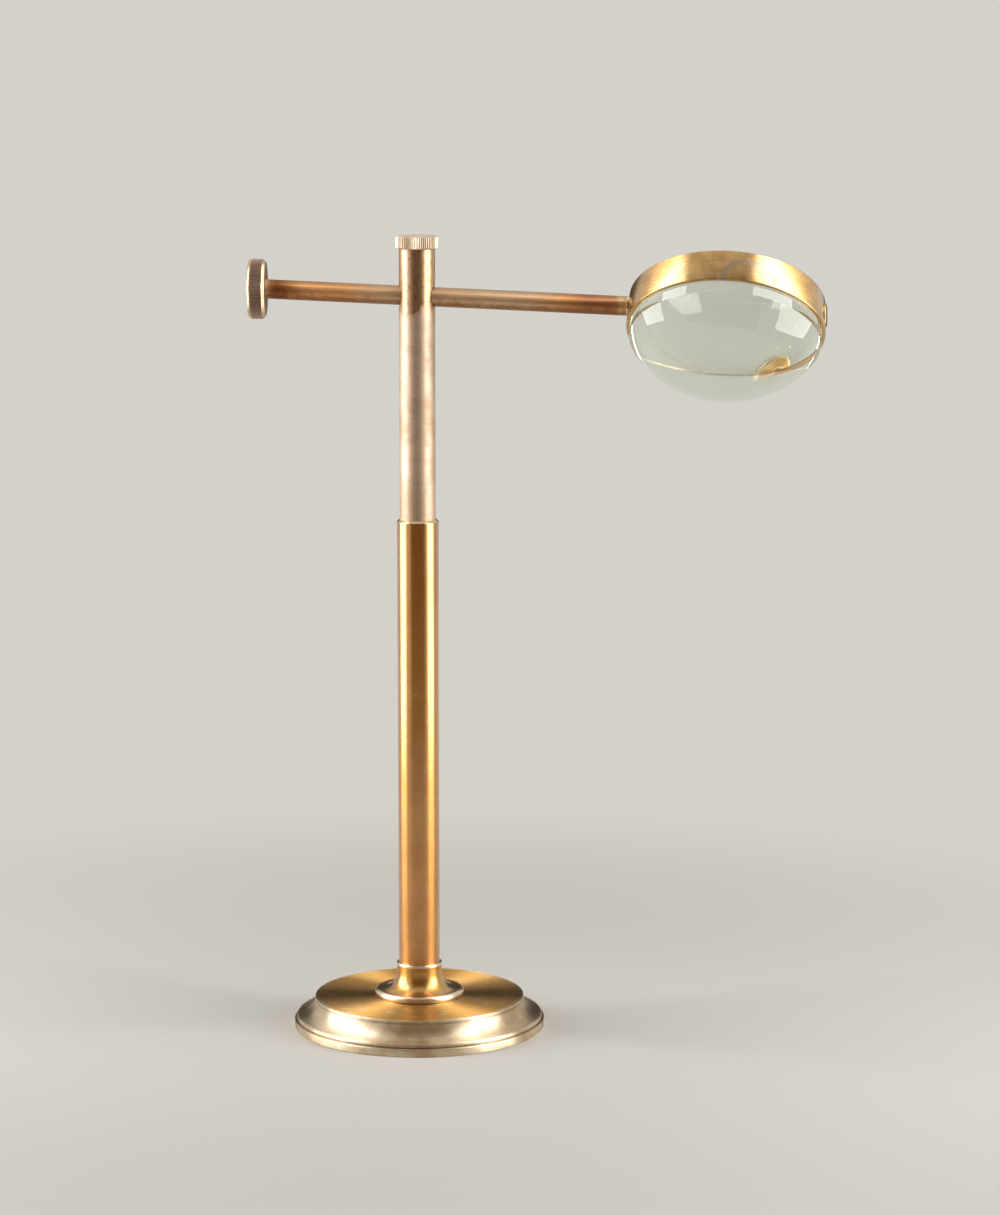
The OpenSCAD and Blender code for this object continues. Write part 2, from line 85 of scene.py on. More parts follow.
def turned(name, outline, place=Matrix.Identity(4), steps=192):
    """A piece turned on a lathe: corners (radius, height, easing) in mm, carried round the axis.
    Its UV map "turning" runs round the piece, and along the section in centimetres."""
    shape = bmesh.new()
    corners = [shape.verts.new((r * MM, 0, z * MM)) for r, z, _ in outline]
    closed = min(outline[0][0], outline[-1][0]) > 0
    for a, b in zip(corners, corners[1:] + corners[:1] * closed):
        shape.edges.new((a, b))
    for ease in sorted({e for _, _, e in outline if e}):
        eased = [v for v, (_, _, e) in zip(corners, outline) if e == ease]
        bmesh.ops.bevel(shape, geom=eased, offset=ease * MM, offset_type="OFFSET",
                        segments=4 if ease < 0.5 else 16, profile=0.5, affect="VERTICES",
                        material=-1)
    # How far along the section each corner lies, from one end of it, or from any on a closed one
    along = shape.verts.layers.float.new("along")
    here = next((v for v in shape.verts if len(v.link_edges) == 1), None) or shape.verts[:][0]
    came = None
    for _ in range(len(shape.verts)):
        step = next((e for e in here.link_edges if e is not came), None)
        if step is None:
            break
        after = step.other_vert(here)
        if after[along]:
            break
        after[along] = here[along] + step.calc_length()
        here, came = after, step
    bmesh.ops.spin(shape, geom=shape.verts[:] + shape.edges[:], cent=(0, 0, 0), axis=(0, 0, 1),
                   dvec=(0, 0, 0), angle=math.tau, steps=steps, use_merge=True)
    bmesh.ops.remove_doubles(shape, verts=shape.verts, dist=2e-6)
    bmesh.ops.recalc_face_normals(shape, faces=shape.faces)
    turning = shape.loops.layers.uv.new("turning")
    for face in shape.faces:
        middle = face.calc_center_median()
        facing = math.atan2(middle.y, middle.x)
        for loop in face.loops:
            x, y, _ = loop.vert.co
            turn = math.atan2(y, x) if math.hypot(x, y) > 1e-6 else facing
            turn += math.tau * round((facing - turn) / math.tau)
            loop[turning].uv = (turn / math.tau, loop.vert[along] * 100)
    bmesh.ops.transform(shape, matrix=place, verts=shape.verts)
    return piece_from(name, shape)


def dress(piece, material, body=None, instead=()):
    """Gives a piece its material and slot, the body it rides on and the nodes it replaces."""
    piece.data.materials.clear()
    piece.data.materials.append(material)
    if body:
        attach(piece, body)
    if instead:
        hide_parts(*instead)


def brass(name, clean, dull, grime, patch=6.0, mark=0.3, gloss=0.3, spread=0.8, spots=0.35,
          depth=0.4, lacquer=0.0, wrapped=True):
    """Brass shaped on a lathe. clean, dull and grime are its colours; patch is the size of the dull
    patches and mark the spacing of the turning marks, in mm; gloss is its roughness, spots and
    depth the strength of the grimy pits and of the marks, spread how far the marks draw out the
    light across them, and lacquer the strength of a clear coat. wrapped: it has a turning map."""
    material = bpy.data.materials.new(name)
    material.use_nodes = True
    tree = material.node_tree
    tree.nodes.clear()
    where = add(tree, "TexCoord")
    mm = add(tree, "VectorMath", {0: where.outputs["Object"], "Scale": 1000.0}, operation="SCALE")
    mm = mm.outputs["Vector"]
    patches = add(tree, "TexNoise", {"Vector": mm, "Scale": 1 / patch, "Detail": 6.0,
                                     "Roughness": 0.62})
    dulled = add(tree, "MapRange", {"Value": patches.outputs["Fac"], "From Min": 0.42,
                                    "From Max": 0.62}, interpolation_type="SMOOTHSTEP")
    if wrapped:
        section = add(tree, "UVMap", uv_map="turning")
        parts = add(tree, "SeparateXYZ", {"Vector": section.outputs["UV"]})
        line = add(tree, "Math", {0: parts.outputs["Y"], 1: 10 / mark}, operation="MULTIPLY")
        lines = add(tree, "CombineXYZ", {"Z": line.outputs["Value"]})
        run = add(tree, "VectorMath", {0: mm, "Scale": 0.03}, operation="SCALE")
        lathe = add(tree, "VectorMath", {0: run.outputs["Vector"], 1: lines.outputs["Vector"]},
                    operation="ADD")
        pattern = {"Vector": lathe.outputs["Vector"], "Scale": 1.0}
    else:
        pattern = {"Vector": mm, "Scale": 1 / mark}
    marks = add(tree, "TexNoise", {**pattern, "Detail": 3.0, "Roughness": 0.55})
    pits = add(tree, "TexVoronoi", {"Vector": mm, "Scale": 0.8, "Randomness": 1.0})
    pitted = add(tree, "MapRange", {"Value": pits.outputs["Distance"], "From Min": 0.07,
                                    "From Max": 0.16, "To Min": spots, "To Max": 0.0})
    tone = add(tree, "Mix", {"Factor": dulled.outputs["Result"], "A": linear(clean),
                             "B": linear(dull)}, data_type="RGBA")
    tone = add(tree, "Mix", {"Factor": pitted.outputs["Result"], "A": tone.outputs[2],
                             "B": linear(grime)}, data_type="RGBA")
    rub = add(tree, "MapRange", {"Value": marks.outputs["Fac"], "From Min": 0.3, "From Max": 0.7,
                                 "To Min": gloss * 0.88, "To Max": gloss * 1.12})
    rough = add(tree, "Math", {0: dulled.outputs["Result"], 1: gloss * 0.1,
                               2: rub.outputs["Result"]}, operation="MULTIPLY_ADD")
    relief = add(tree, "Bump", {"Height": marks.outputs["Fac"], "Strength": depth,
                                "Distance": 1.2e-5})
    metal = add(tree, "BsdfPrincipled", {"Base Color": tone.outputs[2], "Metallic": 1.0,
                                         "Roughness": rough.outputs["Value"],
                                         "Normal": relief.outputs["Normal"],
                                         "Coat Weight": lacquer, "Coat Roughness": 0.2,
                                         "Coat IOR": 1.7})
    if wrapped and spread:
        grain = add(tree, "Tangent", direction_type="UV_MAP", uv_map="turning")
        tree.links.new(grain.outputs["Tangent"], metal.inputs["Tangent"])
        metal.inputs["Anisotropic"].default_value = spread
        metal.inputs["Anisotropic Rotation"].default_value = 0.25
    add(tree, "OutputMaterial", {"Surface": metal.outputs["BSDF"]})
    return material, tree, metal, mm


def stain_and_painted_light(tree, metal, mask, colour, roughness):
    """Lays a patch of colour over a finish: its colour and its roughness, where the mask says. It
    is tarnish, dirt and wear, and at some places painted shade and painted highlights.
    """
    under = metal.inputs["Base Color"].links[0].from_socket
    over = add(tree, "Mix", {"Factor": mask, "A": under, "B": linear(colour)}, data_type="RGBA")
    tree.links.new(over.outputs[2], metal.inputs["Base Color"])
    smooth = metal.inputs["Roughness"].links[0].from_socket
    coarse = add(tree, "Mix", {"Factor": mask, "A": smooth, "B": roughness}, data_type="FLOAT")
    tree.links.new(coarse.outputs[0], metal.inputs["Roughness"])


def band(tree, value, middle, full, none, most):
    """A mask for values near the middle: most up to full away from it, and nothing from none on."""
    off = add(tree, "Math", {0: value, 1: middle}, operation="SUBTRACT")
    near = add(tree, "Math", {0: off.outputs["Value"]}, operation="ABSOLUTE")
    mask = add(tree, "MapRange", {"Value": near.outputs["Value"], "From Min": full,
                                  "From Max": none, "To Min": most, "To Max": 0.0})
    return mask.outputs["Result"]


def from_axis(tree, mm):
    """How far a place is from the pillar's axis, in mm."""
    flat = add(tree, "VectorMath", {0: mm, 1: (1.0, 1.0, 0.0)}, operation="MULTIPLY")
    return add(tree, "VectorMath", {0: flat.outputs["Vector"]}, operation="LENGTH").outputs["Value"]


def scratch(tree, metal, mm, turn, length, gap, share, most, colour, roughness):
    """Fine scratches along one direction, length and gap in mm, broken up so that a share is left;
    most is how strongly they cover what is under them.
    Real ones are a few hundredths of a millimetre wide; these are drawn twice as wide, to show."""
    laid = add(tree, "Mapping", {"Vector": mm, "Rotation": [math.radians(a) for a in turn],
                                 "Scale": (1 / length, 1 / gap, 1 / gap)})
    fibre = add(tree, "TexNoise", {"Vector": laid.outputs["Vector"], "Scale": 1.0, "Detail": 1.0})
    line = band(tree, fibre.outputs["Fac"], 0.5, 0.002, 0.008, most)
    broken = add(tree, "TexNoise", {"Vector": mm, "Scale": 0.2, "Detail": 2.0})
    kept = add(tree, "MapRange", {"Value": broken.outputs["Fac"], "From Min": 0.62 - share * 0.3,
                                  "From Max": 0.68 - share * 0.3})
    both = add(tree, "Math", {0: line, 1: kept.outputs["Result"]}, operation="MULTIPLY")
    stain_and_painted_light(tree, metal, both.outputs["Value"], colour, roughness)


# The profile, from the seat of the foot through the screw's bore and the recess in the underside,
# round the edge and up to the top
BASE_R, BASE_H, PLINTH_H, QUIRK_H, TOP_R, TOP_EDGE_H = 33.8, 8.25, 2.15, 0.35, 28.15, 0.7
MOULD_R, QUIRK_R, COVE_R, ROUND_R = 33.2, 32.8, 4.15, 0.9
SEAT_R, SEAT_Z, BORE_R, HEAD_BORE_R, HEAD_BORE_H = 8.02, 7.05, 3.2, 5.3, 2.8
RECESS_IN_R, RECESS_OUT_R, RECESS_H = 12.5, 27, 4.2
quirk_top = PLINTH_H + QUIRK_H
base = turned("base_turned", [
    (SEAT_R, SEAT_Z, 0), (BORE_R, SEAT_Z, 0), (BORE_R, HEAD_BORE_H, 0),
    (HEAD_BORE_R, HEAD_BORE_H, 0), (HEAD_BORE_R, 0, 0.2), (RECESS_IN_R, 0, 0.2),
    (RECESS_IN_R, RECESS_H, 0), (RECESS_OUT_R, RECESS_H, 0), (RECESS_OUT_R, 0, 0.2),
    (BASE_R, 0, 0.2), (BASE_R, PLINTH_H, 0.32),
    (QUIRK_R, PLINTH_H, 0.05), (QUIRK_R, quirk_top, 0.05), (MOULD_R, quirk_top, 0.08),
    (MOULD_R, quirk_top + ROUND_R, ROUND_R - 0.12),
    (TOP_R, quirk_top + ROUND_R, COVE_R - 0.03), (TOP_R, BASE_H, 0.16), (SEAT_R, BASE_H, 0)],
    steps=256)
# Turned brass, worn bare and pale at the sides, with old gold lacquer left on top: rings of fine
# marks draw the light out into a bow; scratches, dirt, dull patches and painted shade break it up
worn_brass, tree, metal, mm = brass(
    "turned_brass_worn_lacquer", "#E8D4B4", "#CDB492", "#5A4326", patch=9, mark=0.35, gloss=0.36,
    spread=0.95, spots=0.3)
height = add(tree, "SeparateXYZ", {"Vector": mm}).outputs["Z"]
ragged = add(tree, "TexNoise", {"Vector": mm, "Scale": 0.5, "Detail": 5.0, "Roughness": 0.6})
reach = add(tree, "Math", {0: ragged.outputs["Fac"], 1: 2.0, 2: from_axis(tree, mm)},
            operation="MULTIPLY_ADD")
inside = add(tree, "MapRange", {"Value": reach.outputs["Value"], "From Min": TOP_R - 0.2,
                                "From Max": TOP_R + 0.9, "To Min": 0.9, "To Max": 0.0})
above = add(tree, "Math", {0: height, 1: BASE_H - 0.1}, operation="GREATER_THAN")
kept = add(tree, "Math", {0: inside.outputs["Result"], 1: above.outputs["Value"]},
           operation="MULTIPLY")
stain_and_painted_light(tree, metal, kept.outputs["Value"], "#BE8E42", 0.5)
# Painted shade: darker bands in the quirk and just under the edge of the top, where shade falls
for level, wide in ((PLINTH_H + QUIRK_H / 2, 0.3), (BASE_H - TOP_EDGE_H - 0.1, 0.35)):
    stain_and_painted_light(tree, metal, band(tree, height, level, wide * 0.4, wide, 0.4), "#5E442A", 0.5)
for turn in ((20, 0, 35), (10, 30, -48), (0, 50, 100)):
    scratch(tree, metal, mm, turn, length=24.0, gap=0.8, share=0.35, most=0.7, colour="#FBF1DC",
            roughness=0.3)
dress(base, worn_brass, "stand", ["base"])

# Hidden parts of the stand are a lead ring in the recess and the screw that holds the foot. The
# ring is cast, so it is dull and dark, with a grain of about 1.4 mm.
lead = bpy.data.materials.new("cast_lead")
lead.use_nodes = True
tree = lead.node_tree
grain = add(tree, "TexNoise", {"Vector": add(tree, "TexCoord").outputs["Object"], "Scale": 700.0,
                               "Detail": 5.0})
skin = tree.nodes["Principled BSDF"]
tone = add(tree, "Mix", {"Factor": grain.outputs["Fac"], "A": linear("#5C5E63"),
                         "B": linear("#83868B")}, data_type="RGBA")
tree.links.new(tone.outputs[2], skin.inputs["Base Color"])
skin.inputs["Metallic"].default_value = 1.0
skin.inputs["Roughness"].default_value = 0.62
dent = add(tree, "Bump", {"Height": grain.outputs["Fac"], "Strength": 0.6, "Distance": 1e-4})
tree.links.new(dent.outputs["Normal"], skin.inputs["Normal"])
dress(frame["nodes"]["base_weight"], lead)

# Plain turned brass, as it left the lathe: clean and evenly shiny
plain_brass, *_ = brass("plain_turned_brass", "#D9B873", "#B08A4C", "#54401F", patch=3, mark=0.25,
                        gloss=0.3, wrapped=False)
dress(frame["nodes"]["foot_screw"], plain_brass)

# ---------------------------------------------------------------------------------------------
# Pillar foot: a turned brass socket with a flared flange, screwed to the base from below. The
# outer tube is soldered into it, and a small bead closes the joint.
# ---------------------------------------------------------------------------------------------
FOOT_R, FLANGE_H, FOOT_TOP, NECK_R, BEAD_H, BEAD_R = 12.0, 1.9, 17.4, 6.07, 0.7, 6.17
THREAD_R, SPIGOT_R, SOCKET_R, SOCKET_Z = 3.05, 8, 5.57, 10.95
flare_r, flange_z, flange_round = FOOT_R - NECK_R, BASE_H + FLANGE_H, FLANGE_H / 2 - 0.02
foot = turned("pillar_foot_turned", [
    (THREAD_R, SEAT_Z, 0), (SPIGOT_R, SEAT_Z, 0.1), (SPIGOT_R, BASE_H, 0),
    (FOOT_R, BASE_H, flange_round), (FOOT_R, flange_z, flange_round),
    (FOOT_R - FLANGE_H / 2 - 0.35, flange_z, 0.1), (NECK_R, flange_z, flare_r - 1.5),
    (NECK_R, FOOT_TOP - BEAD_H, 0.05), (BEAD_R, FOOT_TOP - BEAD_H, 0.3), (BEAD_R, FOOT_TOP, 0.3),
    (SOCKET_R, FOOT_TOP, 0.2), (SOCKET_R, SOCKET_Z, 0), (THREAD_R, SOCKET_Z, 0)])
# Turned brass under old gold lacquer: warm, with a soft brushed shine
gold_brass, tree, metal, mm = brass(
    "lacquered_turned_brass", "#D2A04C", "#B98638", "#4A3213", patch=4, mark=0.25, gloss=0.3,
    spread=0.85, spots=0.3, lacquer=0.8)
# The rim of the flange and the bead are painted pale: a painted highlight on their round edges
height = add(tree, "SeparateXYZ", {"Vector": mm}).outputs["Z"]
rim = add(tree, "MapRange", {"Value": from_axis(tree, mm), "From Min": FOOT_R - 1.2,
                             "From Max": FOOT_R - 0.6, "To Max": 0.85})
stain_and_painted_light(tree, metal, rim.outputs["Result"], "#F4E6CE", 0.34)
bead = add(tree, "MapRange", {"Value": height, "From Min": FOOT_TOP - BEAD_H - 0.1,
                              "From Max": FOOT_TOP - BEAD_H + 0.1, "To Max": 0.85})
stain_and_painted_light(tree, metal, bead.outputs["Result"], "#F4E6CE", 0.34)
dress(foot, gold_brass, "stand", ["pillar_foot"])

# ---------------------------------------------------------------------------------------------
# Outer tube: drawn brass tube, polished and lacquered a deep gold. Its mouth has a wide bright
# bevel, where the inner tube has rubbed the lacquer off.
# ---------------------------------------------------------------------------------------------
TUBE_R, TUBE_BORE, TUBE_TOP, MOUTH = 5.55, 4.79, 137.85, 0.6
outer = turned("outer_tube_drawn", [
    (TUBE_BORE, SOCKET_Z, 0.1), (TUBE_R, SOCKET_Z, 0.1), (TUBE_R, TUBE_TOP - MOUTH, 0.08),
    (TUBE_R - MOUTH, TUBE_TOP, 0.04), (TUBE_BORE, TUBE_TOP, 0.04)])
# Drawn tube under a deep gold lacquer: smooth, so that a lamp shows as one long clear strip, with
# a few fine scratches
drawn_gold, tree, metal, mm = brass(
    "drawn_tube_gold_lacquer", "#D2954A", "#C8893E", "#3E2A10", patch=14, mark=0.5, gloss=0.3,
    spread=0.88, spots=0.5, depth=0.25, lacquer=1.0)
scratch(tree, metal, mm, (0, 80, 10), length=24.0, gap=0.8, share=0.3, most=0.5,
        colour="#F6DFB4", roughness=0.35)
height = add(tree, "SeparateXYZ", {"Vector": mm}).outputs["Z"]
rubbed = add(tree, "MapRange", {"Value": height, "From Min": TUBE_TOP - MOUTH - 0.15,
                                "From Max": TUBE_TOP - MOUTH + 0.1}).outputs["Result"]
stain_and_painted_light(tree, metal, rubbed, "#E3CD98", 0.2)
dress(outer, drawn_gold, "stand", ["outer_tube"])

# ---------------------------------------------------------------------------------------------
# Friction collar: a greased leather ring on a brass plug in the foot of the inner tube, held by
# a washer and a screw. It grips the outer tube, and all of it is hidden in there.
# ---------------------------------------------------------------------------------------------
# Greased leather is dark and a little shiny, with pores about 0.45 mm apart
leather = bpy.data.materials.new("greased_leather")
leather.use_nodes = True
tree = leather.node_tree
pores = add(tree, "TexVoronoi", {"Vector": add(tree, "TexCoord").outputs["Object"],
                                 "Scale": 2200.0})
skin = tree.nodes["Principled BSDF"]
tone = add(tree, "Mix", {"Factor": pores.outputs["Distance"], "A": linear("#2E1B0F"),
                         "B": linear("#6A4526")}, data_type="RGBA")
tree.links.new(tone.outputs[2], skin.inputs["Base Color"])
skin.inputs["Roughness"].default_value = 0.45
dent = add(tree, "Bump", {"Height": pores.outputs["Distance"], "Strength": 0.5, "Distance": 1e-4})
tree.links.new(dent.outputs["Normal"], skin.inputs["Normal"])
dress(frame["nodes"]["friction_collar"], leather)
for hidden in ("tube_plug", "collar_washer", "collar_screw"):
    dress(frame["nodes"][hidden], plain_brass)

# ---------------------------------------------------------------------------------------------
# Inner tube: drawn brass tube that slides in the outer one, its lacquer long gone. It is pale
# and dull where hands rub it, brown round the head, and cross-drilled for the arm.
# ---------------------------------------------------------------------------------------------


def cut_away(piece, *cutters):
    """Takes the cutters' shapes out of a piece for good, and throws them away."""
    for cutter in cutters:
        cut = piece.modifiers.new("cut", "BOOLEAN")
        cut.operation, cut.solver, cut.object = "DIFFERENCE", "EXACT", cutter
    shown = piece.evaluated_get(bpy.context.evaluated_depsgraph_get())
    left = bpy.data.meshes.new_from_object(shown)
    piece.modifiers.clear()
    piece.data = left
    left.shade_smooth()
    left.set_sharp_from_angle(angle=math.radians(30))
    for cutter in cutters:
        bpy.data.objects.remove(cutter)


INNER_R, INNER_BORE, INNER_FOOT, HEAD, ARM_Z = 4.75, 3.96, 83.95, 209.35, 196.95
HOLE_R, HOLE_Z, HOLE_REACH = 2.93, 196.85, 6
inner = turned("inner_tube_drawn", [
    (INNER_BORE, INNER_FOOT, 0.1), (INNER_R, INNER_FOOT, 0.15), (INNER_R, HEAD, 0.12),
    (INNER_BORE, HEAD, 0.12)])
across = Matrix.Translation((0, 0, HOLE_Z * MM)) @ Matrix.Rotation(math.radians(90), 4, "Y")
cut_away(inner, turned("drill", [
    (0, -HOLE_REACH, 0), (HOLE_R, -HOLE_REACH, 0), (HOLE_R, HOLE_REACH, 0), (0, HOLE_REACH, 0)],
    across, 96))
# Bare drawn brass, dulled by hands: pale and pinkish, with a broad soft shine. Above a ragged edge
# at the head it is browner, with dark blotches.
pale_brass, tree, metal, mm = brass(
    "drawn_tube_bare_brass", "#D6BEA6", "#C6AC92", "#4A361C", patch=9, mark=0.6, gloss=0.6,
    spread=0.5, spots=0.4, depth=0.3)
scratch(tree, metal, mm, (0, 70, 20), length=24.0, gap=0.8, share=0.3, most=0.6,
        colour="#F4E6D2", roughness=0.4)
height = add(tree, "SeparateXYZ", {"Vector": mm}).outputs["Z"]
ragged = add(tree, "TexNoise", {"Vector": mm, "Scale": 0.22, "Detail": 5.0, "Roughness": 0.6})
edge = add(tree, "Math", {0: ragged.outputs["Fac"], 1: 9.0, 2: height}, operation="MULTIPLY_ADD")
browned = add(tree, "MapRange", {"Value": edge.outputs["Value"], "From Min": ARM_Z - 0.35,
                                 "From Max": ARM_Z + 0.85, "To Max": 0.85}).outputs["Result"]
stain_and_painted_light(tree, metal, browned, "#C8A47C", 0.33)
blotch = add(tree, "TexNoise", {"Vector": mm, "Scale": 0.9, "Detail": 4.0, "Roughness": 0.7})
blot = add(tree, "MapRange", {"Value": blotch.outputs["Fac"], "From Min": 0.52, "From Max": 0.68})
dark = add(tree, "Math", {0: blot.outputs["Result"], 1: browned}, operation="MULTIPLY")
stain_and_painted_light(tree, metal, dark.outputs["Value"], "#7E5430", 0.42)
dress(inner, pale_brass, "upper_tube", ["inner_tube"])

# ---------------------------------------------------------------------------------------------
# Clamp: a straight-knurled brass cap that screws on the draw bolt and pulls its eye, and the
# split bush in it, up against the rod. Only the cap is seen.
# ---------------------------------------------------------------------------------------------


def knurled(name, levels, teeth, ridge, valley, place):
    """A knurled piece on its axis. levels are (height, radius of the blank); each tooth takes five
    points of the round, and its flanks end where the blank is smaller than the knurl."""
    shape = bmesh.new()
    pitch = 5
    ring = bmesh.ops.create_circle(shape, segments=teeth * pitch, radius=MM)["verts"]
    slope = ridge - 0.35 * (ridge - valley)
    flank = (valley, slope, ridge, ridge, slope)
    edges = shape.edges[:]
    for number, (height, blank) in enumerate(levels):
        if number:
            edges = [e for e in bmesh.ops.extrude_edge_only(shape, edges=edges)["geom"]
                     if isinstance(e, bmesh.types.BMEdge)]
            rim = {v for e in edges for v in e.verts}
            edges = [e for e in shape.edges if e.verts[0] in rim and e.verts[1] in rim]
        else:
            rim = set(ring)
        for point in rim:
            turn = math.atan2(point.co.y, point.co.x)
            step = round(turn / math.tau * teeth * pitch) % pitch
            radius = min(blank, flank[step]) * MM
            point.co = (radius * math.cos(turn), radius * math.sin(turn), height * MM)
    bmesh.ops.remove_doubles(shape, verts=shape.verts, dist=2e-6)
    bmesh.ops.holes_fill(shape, edges=[e for e in shape.edges if e.is_boundary], sides=0)
    bmesh.ops.recalc_face_normals(shape, faces=shape.faces)
    bmesh.ops.transform(shape, matrix=place, verts=shape.verts)
    return piece_from(name, shape, 22)


def domed(radius, height, rise, rings=6):
    """Levels of a low dome of that radius and rise on a height, up to a point near its axis."""
    ball = (radius ** 2 + rise ** 2) / (2 * rise)
    out = [radius * (1 - k / rings) for k in range(1, rings)] + [0.02]
    return [(height + rise - ball + math.sqrt(ball ** 2 - r ** 2), r) for r in out]


CAP_R, CAP_H, CAP_DOME, CAP_TEETH, CAP_TOOTH = 5.55, 3.3, 0.4, 60, 0.2
CAP_SPIGOT_R, CAP_SPIGOT_H = 3.92, 3.6
cap_valley, cap_face_r, cap_blank = CAP_R - CAP_TOOTH, CAP_R - CAP_TOOTH - 0.04, CAP_R + 0.01
cap = knurled("clamp_cap_knurled",
              [(-CAP_SPIGOT_H, CAP_SPIGOT_R), (-0.001, CAP_SPIGOT_R), (0, cap_face_r),
               (0.04, cap_valley), (0.24, cap_blank), (CAP_H - 0.24, cap_blank),
               (CAP_H - 0.04, cap_valley), (CAP_H, cap_face_r)]
              + domed(cap_face_r, CAP_H, CAP_DOME),
              CAP_TEETH, CAP_R, cap_valley, Matrix.Translation((0, 0, HEAD * MM)))
# Bare knurled brass: the teeth are rubbed pale, and brown dirt lies between them
cap_brass, tree, metal, mm = brass(
    "knurled_cap_brass", "#ECD9C0", "#DCC6A8", "#5A4428", patch=4, mark=0.6, gloss=0.4, spots=0.2,
    depth=0.15, wrapped=False)
out = from_axis(tree, mm)
valley = add(tree, "MapRange", {"Value": out, "From Min": cap_valley, "From Max": CAP_R - 0.06,
                                "To Min": 0.6, "To Max": 0.0})
outside = add(tree, "Math", {0: out, 1: cap_valley - 0.06}, operation="GREATER_THAN")
dirt = add(tree, "Math", {0: valley.outputs["Result"], 1: outside.outputs["Value"]},
           operation="MULTIPLY")
stain_and_painted_light(tree, metal, dirt.outputs["Value"], "#8E6C44", 0.45)
dress(cap, cap_brass, "cap", ["clamp_cap"])
for hidden in ("draw_bolt", "arm_bush"):
    dress(frame["nodes"][hidden], plain_brass)

# ---------------------------------------------------------------------------------------------
# Arm: a solid brass rod, tarnished red-brown by hands and old lacquer, that slides and turns in
# the bush. Bare pale metal shows near the knob and near the lens, where it was rubbed.
# ---------------------------------------------------------------------------------------------
axle = next(j for j in frame["joints"] if j["name"] == "arm_turn")
on_arm = (Matrix.Translation(axle["pos_m"])
          @ Vector(axle["axis"]).to_track_quat("X", "Z").to_matrix().to_4x4())
lathe_on_arm = on_arm @ Matrix.Rotation(math.radians(90), 4, "Y")
ROD_R, ROD_END, ROD_TIP, KNOB_FACE, KNOB_PIN, PIN_R = 2.55, 55.17, 56.25, -40.33, 2.9, 1.55
rod = turned("arm_rod_tarnished", [
    (0, KNOB_FACE - KNOB_PIN, 0), (PIN_R, KNOB_FACE - KNOB_PIN, 0.1), (PIN_R, KNOB_FACE, 0),
    (ROD_R, KNOB_FACE, 0), (ROD_R, ROD_END, 0.2), (PIN_R, ROD_END, 0), (PIN_R, ROD_TIP, 0),
    (0, ROD_TIP, 0)], lathe_on_arm, 96)
# Drawn brass under a worn tarnish: red-brown and half dull, changing in soft zones along the rod
rod_brass, tree, metal, mm = brass(
    "tarnished_rod_brass", "#CC9662", "#BC8654", "#3A2414", patch=12, mark=0.5, gloss=0.46,
    spread=0.9, spots=0.45)
parts = add(tree, "SeparateXYZ", {"Vector": mm})
wander = add(tree, "TexNoise", {"Vector": mm, "Scale": 0.35, "Detail": 5.0, "Roughness": 0.65})
shift = add(tree, "Math", {0: wander.outputs["Fac"], 1: 5.0, 2: -2.5}, operation="MULTIPLY_ADD")
spot = add(tree, "Math", {0: parts.outputs["X"], 1: shift.outputs["Value"]},
           operation="ADD").outputs["Value"]
# Zones of tarnish along the rod: from and to in mm from the pillar, softness, strength and colour
for start, stop, soft, most, colour in (
        (-39.6, -33.0, 6.0, 0.9, "#86502C"), (-14.0, 35.0, 10.0, 0.8, "#C8AA88"),
        (43.0, 53.0, 5.0, 0.7, "#A87256"), (-42.0, -39.3, 1.2, 0.8, "#D8C4AA"),
        (53.2, 56.0, 0.8, 0.8, "#D8BC8E")):
    rising = add(tree, "MapRange", {"Value": spot, "From Min": start - soft / 2,
                                    "From Max": start + soft / 2})
    falling = add(tree, "MapRange", {"Value": spot, "From Min": stop - soft / 2,
                                     "From Max": stop + soft / 2, "To Min": most, "To Max": 0.0})
    both = add(tree, "Math", {0: rising.outputs["Result"], 1: falling.outputs["Result"]},
               operation="MULTIPLY")
    stain_and_painted_light(tree, metal, both.outputs["Value"], colour, 0.42)
# Its underside is painted darker: painted shade under the rod
under = add(tree, "Math", {0: wander.outputs["Fac"], 1: 5.0, 2: parts.outputs["Z"]},
            operation="MULTIPLY_ADD")
tilted = add(tree, "Math", {0: parts.outputs["X"], 1: -axle["axis"][2] / axle["axis"][0],
                            2: under.outputs["Value"]}, operation="MULTIPLY_ADD")
below = add(tree, "MapRange", {"Value": tilted.outputs["Value"], "From Min": ARM_Z + 0.6,
                               "From Max": ARM_Z + 2.2, "To Min": 0.6, "To Max": 0.0})
stain_and_painted_light(tree, metal, below.outputs["Result"], "#7C4A2A", 0.42)
dress(rod, rod_brass, "arm", ["arm_rod"])

# ---------------------------------------------------------------------------------------------
# Knob: a turned brass disc with a finely knurled band, a bevel towards the pillar and a rounded
# edge outside, pressed on the end of the rod. Its high edges are bright and its knurl is dull.
# ---------------------------------------------------------------------------------------------
KNOB_R, KNOB_BAND, KNOB_BEVEL, KNOB_ROUND, KNOB_DOME = 7.875, 2.9, 0.75, 0.95, 0.3
KNOB_TEETH, KNOB_TOOTH, KNOB_LEAN, KNOB_SKEW = 120, 0.12, 2.2, 4.0
